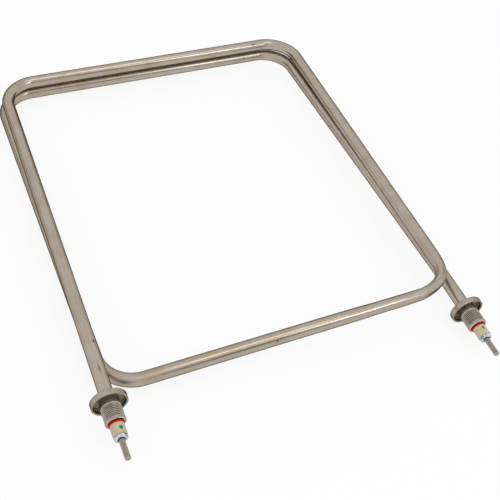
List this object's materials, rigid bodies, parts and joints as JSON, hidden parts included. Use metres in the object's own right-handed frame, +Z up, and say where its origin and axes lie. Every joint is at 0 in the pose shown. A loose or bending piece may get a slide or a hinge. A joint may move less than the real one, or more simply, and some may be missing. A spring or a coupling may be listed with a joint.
{
  "type": "tubular heating element",
  "caption": "Metal-sheathed heating element bent into a flat rectangular coil, with threaded bushings, stop flanges and stud terminals on its parallel ends.",
  "frame": {"origin": "bottom centre of the whole element's box: midway between the terminals, midway between the right stud's tip and the back of the rear rail, level with the underside of the right flange", "axes": "+Z up across the flat coil, +Y from the terminals towards the rear rail, +X from the upper terminal towards the lower one"},
  "size_m": [0.299, 0.3816, 0.0363],
  "materials": {
    "sheath_steel": "satin annealed stainless",
    "flange_steel": "satin",
    "bushing_steel": "satin, threaded",
    "red_silicone": "matte",
    "steatite": "matte, green paint dot",
    "zinc_plate": "bright zinc",
    "stud_steel": "satin",
    "resistance_wire": "dull",
    "magnesia": "pressed powder"
  },
  "bodies": {
    "root": {"sheath_tube": "sheath_steel", "left_flange": "flange_steel", "right_flange": "flange_steel", "left_bushing": "bushing_steel", "right_bushing": "bushing_steel", "left_seal": "red_silicone", "right_seal": "red_silicone", "left_insulator": "steatite", "right_insulator": "steatite", "left_nut": "zinc_plate", "right_nut": "zinc_plate", "left_stud": "stud_steel", "right_stud": "stud_steel", "resistance_coil": "resistance_wire", "magnesia_filling": "magnesia"}
  },
  "joints": []
}
